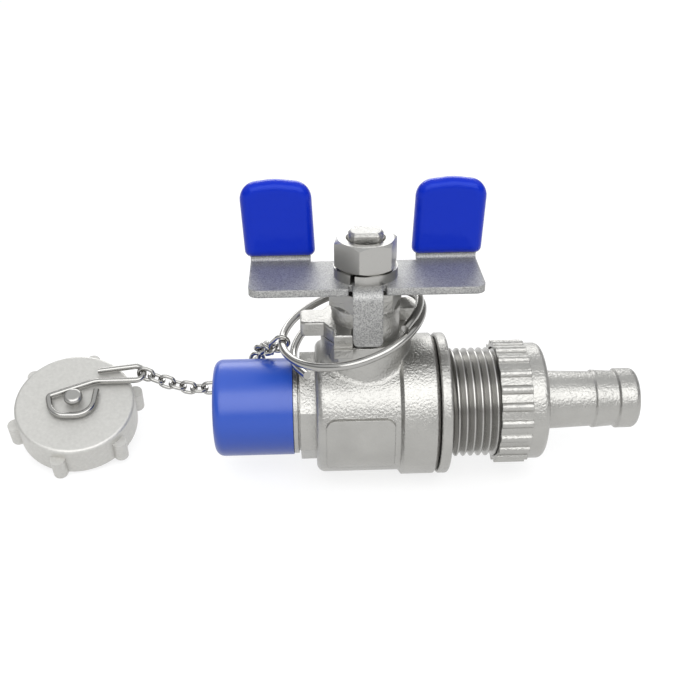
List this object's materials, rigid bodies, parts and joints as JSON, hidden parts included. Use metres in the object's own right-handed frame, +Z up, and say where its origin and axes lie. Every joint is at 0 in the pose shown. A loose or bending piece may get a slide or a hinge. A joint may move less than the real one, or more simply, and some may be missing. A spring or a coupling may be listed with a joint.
{
  "type": "ball valve with hose tail",
  "caption": "Small steel ball valve with a blue-sleeved butterfly handle, hose tail on a ribbed union nut, blue inlet protector and a dust cap on a chain.",
  "frame": {"origin": "centre of the inlet end face, on the pipe axis", "axes": "+X along the flow to the hose tail, +Z up along the stem, -Y towards the stop tab"},
  "size_m": [0.155, 0.0458, 0.072],
  "materials": {
    "cast_steel": "bead-blasted casting",
    "turned_steel": "machined, bright",
    "sheet_steel": "satin sheet",
    "wire_steel": "polished wire",
    "vinyl_blue": "dipped vinyl, glossy",
    "protector_blue": "moulded, satin gloss",
    "cap_grey": "matte casting",
    "seal_white": "turned seal ring",
    "seal_black": "flat gasket"
  },
  "bodies": {
    "valve": {"valve_body": "cast_steel", "end_connector": "cast_steel", "seat_inlet": "seal_white", "seat_outlet": "seal_white", "body_seal": "seal_white", "thrust_washer": "seal_white", "stem_packing_lower": "seal_white", "stem_packing_upper": "seal_white", "gland_bush": "turned_steel", "gland_nut": "turned_steel"},
    "turning": {"handle": "sheet_steel", "sleeve_left": "vinyl_blue", "sleeve_right": "vinyl_blue", "stem": "turned_steel", "ball": "turned_steel", "spring_washer": "sheet_steel", "stem_nut": "turned_steel"},
    "tail": {"hose_tail": "turned_steel", "tail_gasket": "seal_black"},
    "union": {"union_nut": "turned_steel"},
    "protector": {"inlet_cap": "protector_blue"},
    "ring": {"split_ring": "wire_steel"},
    "body_chain_link_01": {"chain_link_01": "wire_steel"},
    "body_chain_link_02": {"chain_link_02": "wire_steel"},
    "body_chain_link_03": {"chain_link_03": "wire_steel"},
    "body_chain_link_04": {"chain_link_04": "wire_steel"},
    "body_chain_link_05": {"chain_link_05": "wire_steel"},
    "body_chain_link_06": {"chain_link_06": "wire_steel"},
    "body_chain_link_07": {"chain_link_07": "wire_steel"},
    "body_chain_link_08": {"chain_link_08": "wire_steel"},
    "body_chain_link_09": {"chain_link_09": "wire_steel"},
    "body_chain_link_10": {"chain_link_10": "wire_steel"},
    "body_chain_link_11": {"chain_link_11": "wire_steel"},
    "body_chain_link_12": {"chain_link_12": "wire_steel"},
    "body_chain_link_13": {"chain_link_13": "wire_steel"},
    "body_chain_link_14": {"chain_link_14": "wire_steel"},
    "body_chain_link_15": {"chain_link_15": "wire_steel"},
    "body_chain_link_16": {"chain_link_16": "wire_steel"},
    "body_chain_link_17": {"chain_link_17": "wire_steel"},
    "body_chain_link_18": {"chain_link_18": "wire_steel"},
    "body_chain_link_19": {"chain_link_19": "wire_steel"},
    "swivel": {"swivel_wire": "wire_steel"},
    "cap": {"dust_cap": "cap_grey", "cap_gasket": "seal_black", "cap_rivet": "turned_steel"}
  },
  "joints": [
    {"name": "handle_turn", "type": "hinge", "parent": "valve", "child": "turning", "pos_m": [0.035, 0, 0.0346], "axis": [0, 0, 1], "range_deg": [0, 90]},
    {"name": "tail_slide", "type": "slide", "parent": "valve", "child": "tail", "axis": [1, 0, 0], "range_m": [0, 0.005]},
    {"name": "union_turn", "type": "hinge", "parent": "tail", "child": "union", "pos_m": [0.066, 0, 0], "axis": [1, 0, 0], "range_deg": [0, 990]},
    {"name": "protector_pull", "type": "slide", "parent": "valve", "child": "protector", "axis": [-1, 0, 0], "range_m": [0, 0.018]},
    {"name": "ring_turn", "type": "hinge", "parent": "valve", "child": "ring", "pos_m": [0.03275, 0.00004, 0.02086], "axis": [-0.3621, -0.0512, 0.9307], "range_deg": [-15, 0]},
    {"name": "link_01_swing", "type": "hinge", "parent": "ring", "child": "body_chain_link_01", "pos_m": [0.01541, 0.00022, 0.01758], "axis": [-0.0068, 0.9974, 0.0724], "range_deg": [0, 5]},
    {"name": "link_02_swing", "type": "hinge", "parent": "body_chain_link_01", "child": "body_chain_link_02", "pos_m": [0.01347, 0.00128, 0.01517], "axis": [0.1634, 0.9443, 0.2856], "range_deg": [0, 5]},
    {"name": "link_03_swing", "type": "hinge", "parent": "body_chain_link_02", "child": "body_chain_link_03", "pos_m": [0.01207, 0.00335, 0.01384], "axis": [0.6917, 0, -0.7222], "range_deg": [0, 5]},
    {"name": "link_04_swing", "type": "hinge", "parent": "body_chain_link_03", "child": "body_chain_link_04", "pos_m": [0.01105, 0.00584, 0.01295], "axis": [0.6623, 0.4764, 0.5783], "range_deg": [0, 5]},
    {"name": "link_05_swing", "type": "hinge", "parent": "body_chain_link_04", "child": "body_chain_link_05", "pos_m": [0.01031, 0.00832, 0.01181], "axis": [0.84, 0, -0.5426], "range_deg": [0, 5]},
    {"name": "link_06_swing", "type": "hinge", "parent": "body_chain_link_05", "child": "body_chain_link_06", "pos_m": [0.00976, 0.01042, 0.00999], "axis": [0.2171, 0.6709, 0.7091], "range_deg": [0, 5]},
    {"name": "link_07_swing", "type": "hinge", "parent": "body_chain_link_06", "child": "body_chain_link_07", "pos_m": [0.00913, 0.01205, 0.00777], "axis": [0.9623, 0, -0.2718], "range_deg": [0, 5]},
    {"name": "link_08_swing", "type": "hinge", "parent": "body_chain_link_07", "child": "body_chain_link_08", "pos_m": [0.00814, 0.01326, 0.00541], "axis": [0.1668, 0.9034, 0.3951], "range_deg": [0, 5]},
    {"name": "link_09_swing", "type": "hinge", "parent": "body_chain_link_08", "child": "body_chain_link_09", "pos_m": [0.00667, 0.01409, 0.00314], "axis": [0.8393, 0, -0.5436], "range_deg": [0, 5]},
    {"name": "link_10_swing", "type": "hinge", "parent": "body_chain_link_09", "child": "body_chain_link_10", "pos_m": [0.00479, 0.01461, 0.00109], "axis": [0.123, 0.9832, 0.1348], "range_deg": [0, 5]},
    {"name": "link_11_swing", "type": "hinge", "parent": "body_chain_link_10", "child": "body_chain_link_11", "pos_m": [0.00257, 0.01489, -0.00065], "axis": [0.6168, 0, -0.7871], "range_deg": [0, 5]},
    {"name": "link_12_swing", "type": "hinge", "parent": "body_chain_link_11", "child": "body_chain_link_12", "pos_m": [0.00009, 0.01501, -0.00199], "axis": [0.0394, 0.999, 0.0213], "range_deg": [0, 5]},
    {"name": "link_13_swing", "type": "hinge", "parent": "body_chain_link_12", "child": "body_chain_link_13", "pos_m": [-0.00259, 0.01512, -0.00291], "axis": [0.3232, 0, -0.9463], "range_deg": [0, 5]},
    {"name": "link_14_swing", "type": "hinge", "parent": "body_chain_link_13", "child": "body_chain_link_14", "pos_m": [-0.00538, 0.01532, -0.00337], "axis": [0.0708, 0.9974, 0.0117], "range_deg": [0, 5]},
    {"name": "link_15_swing", "type": "hinge", "parent": "body_chain_link_14", "child": "body_chain_link_15", "pos_m": [-0.00819, 0.01564, -0.00338], "axis": [-0.0059, 0, 1], "range_deg": [-12, 12]},
    {"name": "link_16_swing", "type": "hinge", "parent": "body_chain_link_15", "child": "body_chain_link_16", "pos_m": [-0.01097, 0.016, -0.00301], "axis": [-0.1243, -0.9921, 0.0169], "range_deg": [-12, 12]},
    {"name": "link_17_swing", "type": "hinge", "parent": "body_chain_link_16", "child": "body_chain_link_17", "pos_m": [-0.01369, 0.01631, -0.00229], "axis": [-0.2565, 0, -0.9665], "range_deg": [-12, 12]},
    {"name": "link_18_swing", "type": "hinge", "parent": "body_chain_link_17", "child": "body_chain_link_18", "pos_m": [-0.01633, 0.01657, -0.00131], "axis": [0.0858, 0.9958, -0.0316], "range_deg": [-12, 12]},
    {"name": "link_19_swing", "type": "hinge", "parent": "body_chain_link_18", "child": "body_chain_link_19", "pos_m": [-0.01892, 0.01678, -0.00018], "axis": [0.4001, 0, 0.9165], "range_deg": [-12, 12]},
    {"name": "swivel_swing", "type": "hinge", "parent": "body_chain_link_19", "child": "swivel", "pos_m": [-0.02075, 0.01691, 0.00067], "axis": [0, 0.9095, 0.4157], "range_deg": [-10, 10]},
    {"name": "cap_swivel", "type": "hinge", "parent": "swivel", "child": "cap", "pos_m": [-0.03739, 0.00937, -0.00304], "axis": [0.055, -0.4151, 0.9081], "continuous": true}
  ],
  "couplings": [
    {"joint": "tail_slide", "follows": "union_turn", "m_per_rad": 0.00028871}
  ]
}
